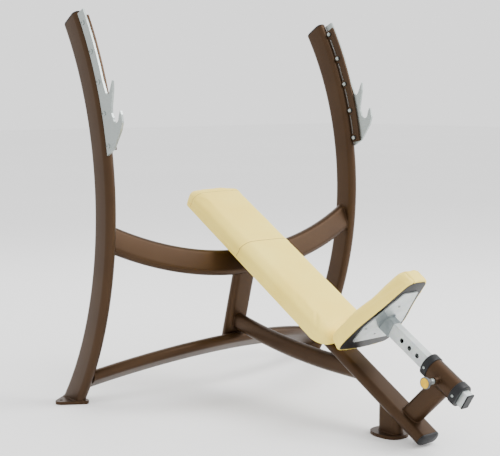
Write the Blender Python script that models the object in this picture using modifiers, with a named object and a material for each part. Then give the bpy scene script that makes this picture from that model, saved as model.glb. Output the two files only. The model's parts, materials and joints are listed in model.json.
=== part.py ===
"""Adjustable incline bench with bar uprights, as separate solids placed where they are bolted or welded.

Frame: metres, +Z up, X across the bench, +Y towards the uprights, origin on the floor under the middle.
The pieces come in three rigid groups: the frame, the sliding seat and the spring-loaded pull pin.
"""

import math

import bmesh
import bpy
from mathutils import Matrix, Vector

OBJECT_NAME = "adjustable_weight_bench"

# Clearance between pieces that touch, and wall of the welded frame tubes
GAP = 0.0003
WALL = 0.003

# Obround frame tube: narrow side, wide side, and facets in each half-round edge
TUBE_THICK = 0.042
TUBE_WIDE = 0.098
EDGE_STEPS = 6
ROUND_STEPS = 12

# Uprights: each is one arc in a plane across X, angles measured at the arc's centre from -Y towards +Z
UPRIGHT_X = 0.601
ARC_Y = 1.6977
ARC_Z = 0.7467
ARC_RADIUS = 1.268
ARC_START = math.radians(-39.0)
ARC_END = math.radians(31.95)
ARC_STEPS = 16
CAP_HEIGHT = 0.014
CAP_BAND = 0.002
CAP_PLUG = 0.012
CAP_PLAY = 0.0008

# Foot plates: rounded triangles under the uprights, an oval under the front leg
FOOT_THICK = 0.012
UPRIGHT_FOOT = ((0.572, 0.580, 0.018), (0.6945, 0.666, 0.020), (0.572, 0.754, 0.018))
FLOOR_HOLE = (0.656, 0.670)
FLOOR_HOLE_RADIUS = 0.0065
FRONT_FOOT_Y = -0.387
FRONT_FOOT_HALF = (0.055, 0.066)
OVAL_POWER = 2.5
FRONT_LEG_Y = -0.395

# Bowed members between the uprights: middle point, end offset from it, and half span at the uprights
CROSSBAR_MIDDLE = (0.3885, 0.5077)
CROSSBAR_LEAN = math.radians(71.0)
CROSSBAR_BOW = 0.1465
LOWER_MIDDLE = (0.4388, 0.1878)
LOWER_LEAN = math.radians(-30.8)
LOWER_BOW = 0.2081
LOWER_TWIST = math.radians(-3.1)
BOW_STEPS = 16

# Rear post between the bowed members, and the brace that runs forward from it
POST_FOOT = (0.465, 0.180)
POST_HEAD = (0.384, 0.4812)
BRACE_SIZE = (0.048, 0.067)
BRACE_CENTRE = (-0.176, 2.785)
BRACE_RADIUS = 2.587
BRACE_FROM = math.radians(-104.0)
BRACE_TO = math.radians(-87.6)

# Inclined members: origin is the lower end of the spine's centre line
INCLINE = math.radians(30.0)
INCLINE_Y = -0.5562
INCLINE_Z = 0.0276
SPINE_LENGTH = 1.162
SPINE_TOP = TUBE_THICK / 2

# Seat post and its sleeve: centre line above the spine's, and distances up the incline
POST_LINE = 0.216
SLEEVE_SIZE = (0.066, 0.077)
SLEEVE_WALL = 0.0035
SLEEVE_SPAN = (-0.010, 0.100)
COLLAR_LENGTH = 0.028
COLLAR_LIP = 0.003
COLLAR_SPIGOT = 0.020
SUPPORT_WIDE = 0.074
SUPPORT_FOOT = (-0.488, 0.091)
SUPPORT_LEAN = math.radians(45.0)
SUPPORT_REACH = 0.2021
SEAT_POST_SIZE = (0.032, 0.053)
SEAT_POST_WALL = 0.0025
SEAT_POST_SPAN = (-0.060, 0.328)
SEAT_POST_CORNER = 0.004
SLIDE_PLAY = 0.0005
PLUG_LIP = 0.005

# Height setting: holes in the post, spring-loaded pin, boss, barrel and knob, measured out from the middle
HOLE_PITCH = 0.039
PIN_STATION = 0.0514
HOLES = 6
HOLE_RADIUS = 0.0085
PIN_RADIUS = 0.0045
PIN_TIP = 0.0165
PIN_END = 0.0875
SHOULDER = (0.0375, 0.0405)
SHOULDER_RADIUS = 0.0068
CHAMBER_RADIUS = 0.0078
BORE_RADIUS = 0.0052
BOSS_RADIUS = 0.014
BOSS_SPAN = (0.028, 0.052)
BOSS_FLOOR = 0.0365
BARREL_RADIUS = 0.0095
BARREL_END = 0.066
BARREL_FLOOR = 0.0605
SPRING_RADIUS = 0.0061
SPRING_WIRE = 0.0006
SPRING_TURNS = 5
KNOB_RADIUS = 0.0195
KNOB_SPAN = (0.0667, 0.0925)
DISC_RADIUS = 0.0168

# Seat: its underside crosses the post's centre line here, tipped back from the incline
SEAT_STATION = 0.351
SEAT_TILT = math.radians(45.0)
SHELL_THICK = 0.012
SHELL_INSET = 0.004
PLATE_THICK = 0.004
FLANGE_THICK = 0.004
SEAT_PAD_TOP = 0.065
SEAT_PAD_OVERHANG = 0.008
SEAT_SCREWS = ((0.078, 0.024), (-0.078, 0.024), (0.0, -0.086))
PLATE_SPARE_HOLE = (0.0, 0.072)
BRACKET_FOOT = 0.303
BRACKET_WALL = 0.003

# Back pad: half width, start and end up the incline, and heights above the spine's centre line
PAD_HALF_WIDTH = 0.129
PAD_SPAN = (0.462, 1.356)
PAD_BOTTOM = 0.0245
PAD_TOP = 0.097
PAD_CORNERS = (0.060, 0.030)
PAD_CROWN = (0.026, 0.350)
BOARD_THICK = 0.018
BOARD_INSET = 0.006
STRAP_STATIONS = {"lower": 0.580, "upper": 1.070}
STRAP_HALF = (0.060, 0.020)

# Bar hooks: plates outside each upright's front edge, in the arc's own polar coordinates
NOSE = ARC_RADIUS + TUBE_WIDE / 2
FLANGE_X = (0.5985, 0.6065)
FLANGE_BAND = (1.3300, 1.3590)
FLANGE_SPAN = (math.radians(9.0), math.radians(30.2))
PLATE_X = (0.6068, 0.6148)
PLATE_BAND = (1.3190, 1.3570)
PLATE_SPAN = (math.radians(8.3), math.radians(31.5))
BOLT_RING = 1.3310
BOLT_ANGLES = [math.radians(29.5 - 4.95 * i) for i in range(5)]
BOLT_RADIUS = 0.005
TAB_HALF_ANGLE = math.radians(0.75)
U_CENTRE = (0.33675, 1.07025)
U_RADIUS = 0.01775


# ------------------------------------------------------------------ finishes


def linear(*levels):
    """Linear colour from 8-bit display levels."""
    return tuple(((v / 255 + 0.055) / 1.055) ** 2.4 for v in levels) + (1.0,)


FINISHES = {
    "frame_paint": (linear(92, 75, 60), 0.38, 0.6),
    "steel": (linear(170, 176, 172), 0.35, 0.9),
    "zinc": (linear(186, 190, 188), 0.45, 0.8),
    "bracket_steel": (linear(140, 146, 146), 0.45, 0.8),
    "black_plastic": (linear(28, 30, 32), 0.45, 0.0),
    "grey_plastic": (linear(120, 122, 122), 0.5, 0.0),
    "yellow_plastic": (linear(205, 165, 40), 0.4, 0.0),
    "spring_steel": (linear(150, 152, 155), 0.3, 1.0),
    "cushion": (linear(235, 222, 178), 0.55, 0.0),
    "board": (linear(30, 30, 32), 0.7, 0.0),
}


def material_for(name, finish):
    colour, roughness, metallic = FINISHES[finish]
    material = bpy.data.materials.new(name)
    material.use_nodes = True
    shader = material.node_tree.nodes["Principled BSDF"]
    shader.inputs["Base Color"].default_value = colour
    shader.inputs["Roughness"].default_value = roughness
    shader.inputs["Metallic"].default_value = metallic
    return material


# ------------------------------------------------------------------ outlines


def obround(thick, wide, grow=0.0, steps=EDGE_STEPS):
    """Two flats joined by half-round edges, thin along the first axis and wide along the second."""
    radius = thick / 2 + grow
    reach = (wide - thick) / 2
    points = []
    for end in (1, -1):
        for i in range(steps + 1):
            angle = math.pi * i / steps
            points.append((end * radius * math.cos(angle), end * (reach + radius * math.sin(angle))))
    return points


def swapped(outline):
    return [(b, a) for a, b in outline]


def turned_by(outline, angle):
    c, s = math.cos(angle), math.sin(angle)
    return [(a * c - b * s, a * s + b * c) for a, b in outline]


def oval(half_a, half_b, steps=28):
    """Oval a little fuller than an ellipse."""
    points = []
    for i in range(steps):
        a, b = math.cos(2 * math.pi * i / steps), math.sin(2 * math.pi * i / steps)
        swell = (abs(a) ** OVAL_POWER + abs(b) ** OVAL_POWER) ** (-1 / OVAL_POWER)
        points.append((half_a * a * swell, half_b * b * swell))
    return points


def rectangle(half_a, half_b, radius=0.0, steps=4, centre=(0.0, 0.0)):
    """Rectangle with rounded corners, anticlockwise."""
    points = []
    for quarter, (sign_a, sign_b) in enumerate(((1, 1), (-1, 1), (-1, -1), (1, -1))):
        middle = (centre[0] + sign_a * (half_a - radius), centre[1] + sign_b * (half_b - radius))
        for i in range(steps + 1 if radius else 1):
            angle = math.pi / 2 * (quarter + i / steps)
            points.append((middle[0] + radius * math.cos(angle), middle[1] + radius * math.sin(angle)))
    return points


def filleted(corners, steps=4):
    """Closed outline from (a, b, radius) corners, each rounded by an arc that meets both sides."""
    points = []
    for i, (a, b, radius) in enumerate(corners):
        corner = Vector((a, b))
        before = (Vector(corners[i - 1][:2]) - corner).normalized()
        after = (Vector(corners[(i + 1) % len(corners)][:2]) - corner).normalized()
        half = before.angle(after) / 2
        if radius == 0 or half > math.radians(89):
            points.append((a, b))
            continue
        centre = corner + (before + after).normalized() * (radius / math.sin(half))
        first = corner + before * (radius / math.tan(half)) - centre
        turn = first.angle_signed(corner + after * (radius / math.tan(half)) - centre)
        for k in range(steps + 1):
            spoke = first.copy()
            spoke.rotate(Matrix.Rotation(-turn * k / steps, 2))
            points.append(tuple(centre + spoke))
    return points


def smooth_loop(points, steps=4):
    """Closed curve through the given points (Catmull-Rom)."""
    curve = []
    count = len(points)
    for i in range(count):
        p0, p1, p2, p3 = (Vector(points[(i + k) % count]) for k in (-1, 0, 1, 2))
        for k in range(steps):
            t = k / steps
            linear_part = 2 * p1 + (p2 - p0) * t
            square_part = (2 * p0 - 5 * p1 + 4 * p2 - p3) * t * t
            cubic_part = (3 * p1 - p0 - 3 * p2 + p3) * t * t * t
            curve.append(tuple((linear_part + square_part + cubic_part) / 2))
    return curve


def offset(outline, distance):
    """Anticlockwise outline moved outwards."""
    moved = []
    for i, point in enumerate(outline):
        along = (Vector(outline[(i + 1) % len(outline)]) - Vector(outline[i - 1])).normalized()
        moved.append((point[0] + along.y * distance, point[1] - along.x * distance))
    return moved


def mirrored_half(half):
    """Closed outline from its +X half, given from the middle point at one end to that at the other."""
    return list(half) + [(-a, b) for a, b in reversed(half) if a > 1e-6]


def polar(radius, angle):
    """Point at a radius and angle about the uprights' arc centre, as (Y, Z) from that centre."""
    return (-radius * math.cos(angle), radius * math.sin(angle))


def from_arc_centre(y, z):
    return (y - ARC_Y, z - ARC_Z)


def arc_points(radius, start, end, steps):
    return [polar(radius, start + (end - start) * i / steps) for i in range(steps + 1)]


# ------------------------------------------------------------------ meshes


def finish_mesh(bm, name, open_ends=False):
    bmesh.ops.recalc_face_normals(bm, faces=bm.faces)
    if open_ends:
        ends = [face for face in bm.faces if len(face.verts) > 4]
        bmesh.ops.delete(bm, geom=ends, context="FACES_ONLY")
    mesh = bpy.data.meshes.new(name)
    bm.to_mesh(mesh)
    bm.free()
    mesh.shade_smooth()
    mesh.set_sharp_from_angle(angle=math.radians(35))
    return mesh


def prism(name, outline, low, high, across="Z", open_ends=False):
    """An outline given depth along one axis; its own axes are the other two, in X, Y, Z order."""
    place = {
        "X": lambda a, b, c: (c, a, b),
        "Y": lambda a, b, c: (a, c, b),
        "Z": lambda a, b, c: (a, b, c),
    }[across]
    bm = bmesh.new()
    face = bm.faces.new([bm.verts.new(place(a, b, low)) for a, b in outline])
    grown = bmesh.ops.extrude_face_region(bm, geom=[face])["geom"]
    far = [item for item in grown if isinstance(item, bmesh.types.BMVert)]
    bmesh.ops.translate(bm, verts=far, vec=place(0, 0, high - low))
    return finish_mesh(bm, name, open_ends)


def arc_bar(name, outline, radius, start, end, steps, open_ends=True):
    """An outline (along X, along the radius) swept round local X, angles from -Y towards +Z."""
    bm = bmesh.new()
    for a, b in outline:
        y, z = polar(radius + b, start)
        bm.verts.new((a, y, z))
    bm.verts.ensure_lookup_table()
    ring = list(bm.verts)
    edges = [bm.edges.new((ring[i - 1], ring[i])) for i in range(len(ring))]
    bmesh.ops.spin(
        bm, geom=ring + edges, cent=(0, 0, 0), axis=(1, 0, 0), angle=start - end, steps=steps
    )
    bmesh.ops.holes_fill(bm, edges=[edge for edge in bm.edges if edge.is_boundary])
    return finish_mesh(bm, name, open_ends)


def stack(name, layers):
    """Outlines with equally many points, one above another along local Z, skinned into one solid."""
    bm = bmesh.new()
    rings = [[bm.verts.new((a, b, height)) for a, b in outline] for outline, height in layers]
    for lower, upper in zip(rings, rings[1:]):
        for i in range(len(lower)):
            bm.faces.new((lower[i - 1], lower[i], upper[i], upper[i - 1]))
    bm.faces.new(rings[0])
    bm.faces.new(rings[-1])
    return finish_mesh(bm, name)


def rods(name, centres, radius, low, high, across="Z", steps=ROUND_STEPS):
    """Straight round bars with parallel axes, one at each (a, b) centre."""
    turn = {"X": Matrix.Rotation(math.pi / 2, 4, "Y"), "Z": Matrix.Identity(4)}[across]
    bm = bmesh.new()
    for a, b in centres:
        middle = (low + high) / 2
        spot = (middle, a, b) if across == "X" else (a, b, middle)
        bmesh.ops.create_cone(
            bm, cap_ends=True, segments=steps, radius1=radius, radius2=radius,
            depth=high - low, matrix=Matrix.Translation(spot) @ turn,
        )
    return finish_mesh(bm, name)


# ------------------------------------------------------------------ objects


def collection(name):
    made = bpy.data.collections.new(name)
    bpy.context.scene.collection.children.link(made)
    return made


def empty(name, location, rotation=(0, 0, 0), parent=None):
    made = bpy.data.objects.new(name, None)
    made.empty_display_size = 0.05
    made.location = location
    made.rotation_euler = rotation
    made.parent = parent
    PARTS.objects.link(made)
    return made


def part(name, mesh, finish, location=(0, 0, 0), rotation=(0, 0, 0), parent=None):
    made = bpy.data.objects.new(name, mesh)
    made.location = location
    made.rotation_euler = rotation
    made.parent = parent
    PARTS.objects.link(made)
    made.data.materials.clear()
    made.data.materials.append(material_for(name, finish))
    return made


def cutter(name, mesh, location=(0, 0, 0), rotation=(0, 0, 0), parent=None):
    made = bpy.data.objects.new(name, mesh)
    made.location = location
    made.rotation_euler = rotation
    made.parent = parent
    made.hide_render = True
    made.display_type = "WIRE"
    CUTTERS.objects.link(made)
    return made


def hollow(target, wall=WALL):
    """Turns an open-ended tube surface into a wall, inwards."""
    shell = target.modifiers.new("wall", "SOLIDIFY")
    shell.thickness = wall
    shell.offset = -1
    shell.use_even_offset = True


def boolean(target, tools, operation="DIFFERENCE"):
    for tool in tools:
        change = target.modifiers.new(tool.name, "BOOLEAN")
        change.operation = operation
        change.solver = "EXACT"
        change.object = tool


def turned(name, profile, finish, closed=False, **place):
    """A turned piece about its local Z: (radius, height) points down the outside, top first."""
    mesh = bpy.data.meshes.new(name)
    count = len(profile)
    links = [(i, i + 1) for i in range(count - 1)] + ([(count - 1, 0)] if closed else [])
    mesh.from_pydata([(r, 0, h) for r, h in profile], links, [])
    made = part(name, mesh, finish, **place)
    lathe = made.modifiers.new("lathe", "SCREW")
    lathe.steps = ROUND_STEPS
    lathe.render_steps = ROUND_STEPS
    lathe.use_merge_vertices = True
    lathe.merge_threshold = 0.00001
    return made


# ------------------------------------------------------------------ frame


def axes_turn(x, y, z):
    """Rotation that carries the local axes to these directions."""
    return Matrix((x, y, z)).transposed().to_euler()


def bow(middle, lean, depth):
    """Arc centre, radius and rotation of a bowed member whose ends lie at its middle plus the bow."""
    radius = (UPRIGHT_X**2 + depth**2) / (2 * depth)
    along = Vector((0, math.cos(lean), math.sin(lean)))
    centre = Vector((0, *middle)) + along * radius
    side = Vector((1, 0, 0))
    return centre, radius, axes_turn(side.cross(along), side, along)


def bowed_mesh(name, radius, outline, open_ends=True):
    """The member's arc about its centre, a little longer than the room between the uprights."""
    half = math.asin((UPRIGHT_X + 0.02) / radius)
    middle = -math.pi / 2
    return arc_bar(name, outline, radius, middle - half, middle + half, BOW_STEPS, open_ends)


def tube_cap(name, **place):
    """Black end cap: a plug inside the tube, and a low dome over the end."""
    bore = obround(TUBE_THICK, TUBE_WIDE, grow=-WALL - CAP_PLAY)
    rim = obround(TUBE_THICK, TUBE_WIDE)
    layers = [(bore, -CAP_PLUG), (bore, GAP), (rim, GAP)]
    for share in (0.97, 0.88, 0.72, 0.50, 0.25):
        height = CAP_BAND + (CAP_HEIGHT - CAP_BAND) * math.sqrt(1 - share**2)
        layers.append(([(a * share, b * share) for a, b in rim], height))
    return part(name, stack(name, layers), "black_plastic", **place)


def upright(side, label, floor_cut):
    place = (side * UPRIGHT_X, ARC_Y, ARC_Z)
    section = obround(TUBE_THICK, TUBE_WIDE)
    name = f"upright_{label}"
    post = part(
        name, arc_bar(name, section, ARC_RADIUS, ARC_START, ARC_END, ARC_STEPS),
        "frame_paint", location=place,
    )
    hollow(post)
    boolean(post, [floor_cut])
    y, z = polar(ARC_RADIUS, ARC_END)
    tube_cap(
        f"upright_cap_{label}", location=(place[0], ARC_Y + y, ARC_Z + z), rotation=(-ARC_END, 0, 0)
    )


def foot_plate(name, outline):
    return part(name, prism(name, outline, 0, FOOT_THICK), "frame_paint")


def build_uprights():
    below_feet = prism("floor_cut", rectangle(1.0, 1.0), -0.3, FOOT_THICK + GAP)
    floor_cut = cutter("floor_cut", below_feet)
    for side, label in ((-1, "left"), (1, "right")):
        upright(side, label, floor_cut)
        corners = [(side * x, y, radius) for x, y, radius in UPRIGHT_FOOT]
        plate = foot_plate(f"foot_plate_{label}", filleted(corners, steps=6))
        name = f"floor_hole_{label}"
        hole = (side * FLOOR_HOLE[0], FLOOR_HOLE[1])
        boolean(plate, [cutter(name, rods(name, [hole], FLOOR_HOLE_RADIUS, -0.01, 0.03, steps=20))])


def build_crossmembers():
    """Crossbar and lower member, cut square at the uprights' inner faces."""
    inner = UPRIGHT_X - TUBE_THICK / 2 - GAP
    ends = []
    for side, label in ((-1, "left"), (1, "right")):
        low, high = sorted((side * inner, side * (inner + 0.2)))
        box = rectangle(0.9, 0.9, centre=(0.4, 0.4))
        ends.append(cutter(f"end_cut_{label}", prism(f"end_cut_{label}", box, low, high, "X")))
    members = {}
    for name, middle, lean, depth, twist in (
        ("crossbar", CROSSBAR_MIDDLE, CROSSBAR_LEAN, CROSSBAR_BOW, 0.0),
        ("lower_cross_member", LOWER_MIDDLE, LOWER_LEAN, LOWER_BOW, LOWER_TWIST),
    ):
        centre, radius, turn = bow(middle, lean, depth)
        section = turned_by(obround(TUBE_THICK, TUBE_WIDE), twist)
        member = part(
            name, bowed_mesh(name, radius, section), "frame_paint", location=centre, rotation=turn
        )
        hollow(member)
        boolean(member, ends)
        outer = turned_by(obround(TUBE_THICK, TUBE_WIDE, grow=GAP), twist)
        solid = bowed_mesh(f"{name}_room", radius, outer, open_ends=False)
        members[name] = cutter(f"{name}_room", solid, location=centre, rotation=turn)
    return members


def build_rear_post_and_brace(rooms, above_spine):
    foot, head = Vector((0, *POST_FOOT)), Vector((0, *POST_HEAD))
    rise = head - foot
    turn = (math.atan2(-rise.y, rise.z), 0, 0)
    place = {"location": foot, "rotation": turn}
    section = swapped(obround(TUBE_THICK, TUBE_WIDE))
    post = part(
        "rear_post", prism("rear_post", section, 0, rise.length, open_ends=True), "frame_paint", **place
    )
    hollow(post)
    boolean(post, [rooms["lower_cross_member"], rooms["crossbar"]])
    outer = swapped(obround(TUBE_THICK, TUBE_WIDE, grow=GAP))
    post_room = cutter("rear_post_room", prism("rear_post_room", outer, 0, rise.length), **place)
    sweep = arc_bar("brace_strut", obround(*BRACE_SIZE), BRACE_RADIUS, BRACE_FROM, BRACE_TO, 8)
    brace = part("brace_strut", sweep, "frame_paint", location=(0, *BRACE_CENTRE))
    hollow(brace)
    boolean(brace, [post_room, above_spine])


def build_spine(incline, rooms):
    section = swapped(obround(TUBE_THICK, TUBE_WIDE))
    spine = part(
        "spine", prism("spine", section, 0, SPINE_LENGTH, "Y", open_ends=True), "frame_paint",
        parent=incline,
    )
    hollow(spine)
    boolean(spine, [rooms["crossbar"]])
    for name, station, outward in (("spine_cap_front", 0, -1), ("spine_cap_rear", SPINE_LENGTH, 1)):
        turn = axes_turn((0, 0, 1), (outward, 0, 0), (0, outward, 0))
        tube_cap(name, location=(0, station, 0), rotation=turn, parent=incline)


def build_front_leg(above_spine):
    section = obround(TUBE_THICK, TUBE_WIDE)
    leg = part(
        "front_leg", prism("front_leg", section, FOOT_THICK + GAP, 0.145, open_ends=True),
        "frame_paint", location=(0, FRONT_LEG_Y, 0),
    )
    hollow(leg)
    boolean(leg, [above_spine])
    foot_plate("foot_plate_front", [(x, y + FRONT_FOOT_Y) for x, y in oval(*FRONT_FOOT_HALF)])


# ------------------------------------------------------------------ bar hooks


def hook_outline():
    """Steel hook plate: a strip down the upright's front, an upper prong and a lower cradle."""
    strip_foot = math.radians(19.6)
    front = arc_points(PLATE_BAND[1], PLATE_SPAN[1] - math.radians(0.2), strip_foot, 6)
    rear = arc_points(PLATE_BAND[0], PLATE_SPAN[0], PLATE_SPAN[1], 10)
    prong = [
        (0.3890, 1.1360, 0.0110), (0.3740, 1.1600, 0.0300), (0.3545, 1.2030, 0.0012),
        (0.3535, 1.1650, 0.0300), (0.3630, 1.1080, 0.0300), (0.3630, 1.0860, 0.0050),
    ]
    cradle = [
        (U_CENTRE[0] + U_RADIUS * math.cos(a), U_CENTRE[1] - U_RADIUS * math.sin(a), 0.0)
        for a in (math.pi * i / 8 for i in range(9))
    ]
    lower = [
        (0.3165, 1.0800, 0.0150), (0.3085, 1.0970, 0.0012), (0.3020, 1.0830, 0.0150),
        (0.2965, 1.0560, 0.0150), (0.3060, 1.0280, 0.0400), (0.3510, 0.9620, 0.0060),
    ]
    corners = [(*point, 0.0) for point in front]
    corners += [(*from_arc_centre(y, z), radius) for y, z, radius in prong + cradle + lower]
    corners += [(*point, 0.0) for point in rear]
    return filleted(corners)


def flange_outline():
    """Brown backing strip: a band clear of the tube, with a tab to the tube behind each bolt."""
    start, end = FLANGE_SPAN
    inner = []
    tabs = sorted(BOLT_ANGLES)
    for i, angle in enumerate(tabs):
        low, high = max(start, angle - TAB_HALF_ANGLE), angle + TAB_HALF_ANGLE
        inner += arc_points(NOSE + GAP + 0.0005, low, high, 1)
        if i + 1 < len(tabs):
            inner += arc_points(FLANGE_BAND[0], high, tabs[i + 1] - TAB_HALF_ANGLE, 2)
    inner += arc_points(FLANGE_BAND[0], tabs[-1] + TAB_HALF_ANGLE, end, 1)
    return inner + arc_points(FLANGE_BAND[1], end, start, 10)


def build_hooks():
    holes = [polar(BOLT_RING, angle) for angle in BOLT_ANGLES]
    head, nut = PLATE_X[1] + GAP, FLANGE_X[0] - GAP
    shank = BOLT_RADIUS
    profile = [
        (0, head + 0.0052), (0.0050, head + 0.0048), (0.0090, head + 0.0022), (0.0095, head),
        (shank, head), (shank, nut), (0.0085, nut), (0.0085, nut - 0.0075), (shank, nut - 0.0077),
        (shank, nut - 0.0100), (0, nut - 0.0100),
    ]
    for side, label in ((-1, "left"), (1, "right")):
        place = {"location": (0, ARC_Y, ARC_Z)}
        room = rods(f"hook_bolt_room_{label}", holes, shank + 0.0006, *sorted((side * 0.56, side * 0.66)), "X")
        bolt_room = cutter(f"hook_bolt_room_{label}", room, **place)
        for name, outline, span, finish in (
            (f"hook_flange_{label}", flange_outline(), FLANGE_X, "frame_paint"),
            (f"hook_plate_{label}", hook_outline(), PLATE_X, "steel"),
        ):
            low, high = sorted((side * span[0], side * span[1]))
            plate = part(name, prism(name, outline, low, high, "X"), finish, **place)
            boolean(plate, [bolt_room])
        for i, (y, z) in enumerate(holes):
            turned(
                f"hook_bolt_{label}_{i + 1}", profile, "steel",
                location=(0, ARC_Y + y, ARC_Z + z), rotation=(0, side * math.pi / 2, 0),
            )


# ------------------------------------------------------------------ sleeve and pull pin


def build_sleeve(sleeve_axis, below_spine, pin_axis):
    """Oval guide tube on its support, with a plastic collar in each end."""
    section = obround(*SLEEVE_SIZE)
    sleeve = part(
        "seat_sleeve", prism("seat_sleeve", section, *SLEEVE_SPAN, open_ends=True), "frame_paint",
        parent=sleeve_axis,
    )
    hollow(sleeve, SLEEVE_WALL)
    bore = rods("pin_bore", [(0, 0)], BORE_RADIUS, 0.0, 0.06)
    pin_bore = cutter("pin_bore", bore, parent=pin_axis)
    boolean(sleeve, [pin_bore])
    room = prism("sleeve_room", obround(*SLEEVE_SIZE, grow=GAP), SLEEVE_SPAN[0], SLEEVE_SPAN[1])
    sleeve_room = cutter("sleeve_room", room, parent=sleeve_axis)

    start = 0.015
    support = part(
        "sleeve_support",
        prism("sleeve_support", obround(TUBE_THICK, SUPPORT_WIDE), -start, SUPPORT_REACH, open_ends=True),
        "frame_paint", location=(0, *SUPPORT_FOOT), rotation=(SUPPORT_LEAN, 0, 0),
    )
    hollow(support)
    boolean(support, [below_spine, sleeve_room])

    half_a, half_b = (size / 2 + SLIDE_PLAY for size in SEAT_POST_SIZE)
    slot = prism("post_room", rectangle(half_a, half_b, SEAT_POST_CORNER), -0.3, 0.3)
    post_room = cutter("post_room", slot, parent=sleeve_axis)
    bore_fit = obround(*SLEEVE_SIZE, grow=-SLEEVE_WALL - GAP)
    lip = obround(*SLEEVE_SIZE, grow=COLLAR_LIP)
    soft_lip = obround(*SLEEVE_SIZE, grow=COLLAR_LIP - 0.003)
    for label, end, outward in (("lower", SLEEVE_SPAN[0], -1), ("upper", SLEEVE_SPAN[1], 1)):
        name = f"sleeve_collar_{label}"
        layers = [
            (bore_fit, end - outward * COLLAR_SPIGOT), (bore_fit, end + outward * GAP),
            (lip, end + outward * GAP), (lip, end + outward * (COLLAR_LENGTH - 0.003)),
            (soft_lip, end + outward * COLLAR_LENGTH),
        ]
        collar = part(name, stack(name, layers), "black_plastic", parent=sleeve_axis)
        station = end + outward * COLLAR_LENGTH / 2
        screw_hole = rods(f"{name}_hole", [(0, station)], 0.0024, -0.06, -0.026, "X", 12)
        room = cutter(f"{name}_hole", screw_hole, parent=sleeve_axis)
        boolean(collar, [post_room, room])
        face = SLEEVE_SIZE[0] / 2 + COLLAR_LIP + GAP
        profile = [
            (0, face + 0.0025), (0.0030, face + 0.0022), (0.0042, face + 0.0010), (0.0042, face),
            (0.0020, face), (0.0020, 0.0270), (0, 0.0270),
        ]
        turned(
            f"collar_screw_{label}", profile, "steel", location=(0, 0, station),
            rotation=(0, -math.pi / 2, 0), parent=sleeve_axis,
        )
    return sleeve_room


def build_pin_housing(pin_axis, sleeve_room):
    boss_profile = [
        (CHAMBER_RADIUS, BOSS_SPAN[1]), (BOSS_RADIUS, BOSS_SPAN[1]), (BOSS_RADIUS, BOSS_SPAN[0]),
        (BORE_RADIUS, BOSS_SPAN[0]), (BORE_RADIUS, BOSS_FLOOR), (CHAMBER_RADIUS, BOSS_FLOOR),
    ]
    boss = turned("pin_boss", boss_profile, "frame_paint", closed=True, parent=pin_axis)
    boolean(boss, [sleeve_room])
    foot = BOSS_SPAN[1] + GAP
    barrel_profile = [
        (BORE_RADIUS, BARREL_END), (BARREL_RADIUS, BARREL_END), (BARREL_RADIUS, foot),
        (CHAMBER_RADIUS, foot), (CHAMBER_RADIUS, BARREL_FLOOR), (BORE_RADIUS, BARREL_FLOOR),
    ]
    turned("pin_barrel", barrel_profile, "steel", closed=True, parent=pin_axis)


def coil_spring(name, low, high, parent):
    """Compression spring along local Z, from one end wall to the other."""
    steps_per_turn = 10
    count = SPRING_TURNS * steps_per_turn
    wire = bpy.data.curves.new(name, "CURVE")
    wire.dimensions = "3D"
    wire.bevel_depth = SPRING_WIRE
    wire.bevel_resolution = 2
    wire.use_fill_caps = True
    line = wire.splines.new("POLY")
    line.points.add(count)
    for i, point in enumerate(line.points):
        angle = 2 * math.pi * i / steps_per_turn
        x, y = SPRING_RADIUS * math.cos(angle), SPRING_RADIUS * math.sin(angle)
        point.co = (x, y, low + (high - low) * i / count, 1)
    made = bpy.data.objects.new(name, wire)
    made.parent = parent
    wire.materials.append(material_for(name, "spring_steel"))
    PARTS.objects.link(made)


def build_pull_pin(pin_axis):
    shaft = [
        (0, PIN_END), (PIN_RADIUS, PIN_END - 0.0005), (PIN_RADIUS, SHOULDER[1]),
        (SHOULDER_RADIUS, SHOULDER[1]), (SHOULDER_RADIUS, SHOULDER[0]), (PIN_RADIUS, SHOULDER[0]),
        (PIN_RADIUS, PIN_TIP + 0.0025), (PIN_RADIUS - 0.0015, PIN_TIP), (0, PIN_TIP),
    ]
    turned("pull_pin", shaft, "steel", parent=pin_axis)
    end_room = GAP + SPRING_WIRE
    coil_spring("pin_spring", SHOULDER[1] + end_room, BARREL_FLOOR - end_room, pin_axis)
    back, front = KNOB_SPAN
    bore = PIN_RADIUS + 0.0004
    knob = [
        (0, front), (DISC_RADIUS + 0.0004, front), (DISC_RADIUS + 0.0004, front + 0.0012),
        (0.0184, front + 0.0016), (KNOB_RADIUS, front - 0.0005), (KNOB_RADIUS, front - 0.0070),
        (0.0165, front - 0.0110), (0.0120, back + 0.0060), (0.0105, back), (bore, back),
        (bore, PIN_END + 0.0005), (0, PIN_END + 0.0005),
    ]
    turned("pin_knob", knob, "grey_plastic", parent=pin_axis)
    disc = [
        (0, front + 0.0025), (0.0150, front + 0.0023), (DISC_RADIUS, front + 0.0013),
        (DISC_RADIUS, front + GAP), (0, front + GAP),
    ]
    turned("knob_disc", disc, "yellow_plastic", parent=pin_axis)


# ------------------------------------------------------------------ seat


def seat_outline():
    """Saddle-like plan, X against distance behind the post; wide behind, narrow nose in front."""
    half = [
        (0.0, -0.215), (0.031, -0.211), (0.0475, -0.197), (0.056, -0.172), (0.081, -0.082),
        (0.1135, 0.006), (0.1245, 0.065), (0.128, 0.115), (0.117, 0.145), (0.085, 0.155), (0.0, 0.163),
    ]
    return smooth_loop(mirrored_half(half), steps=3)


def seat_plate_outline():
    half = [(0.034, -0.159, 0.006), (0.095, 0.016, 0.015), (0.089, 0.065, 0.015), (0.085, 0.103, 0.010)]
    return filleted(half + [(-a, b, radius) for a, b, radius in reversed(half)], steps=3)


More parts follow.
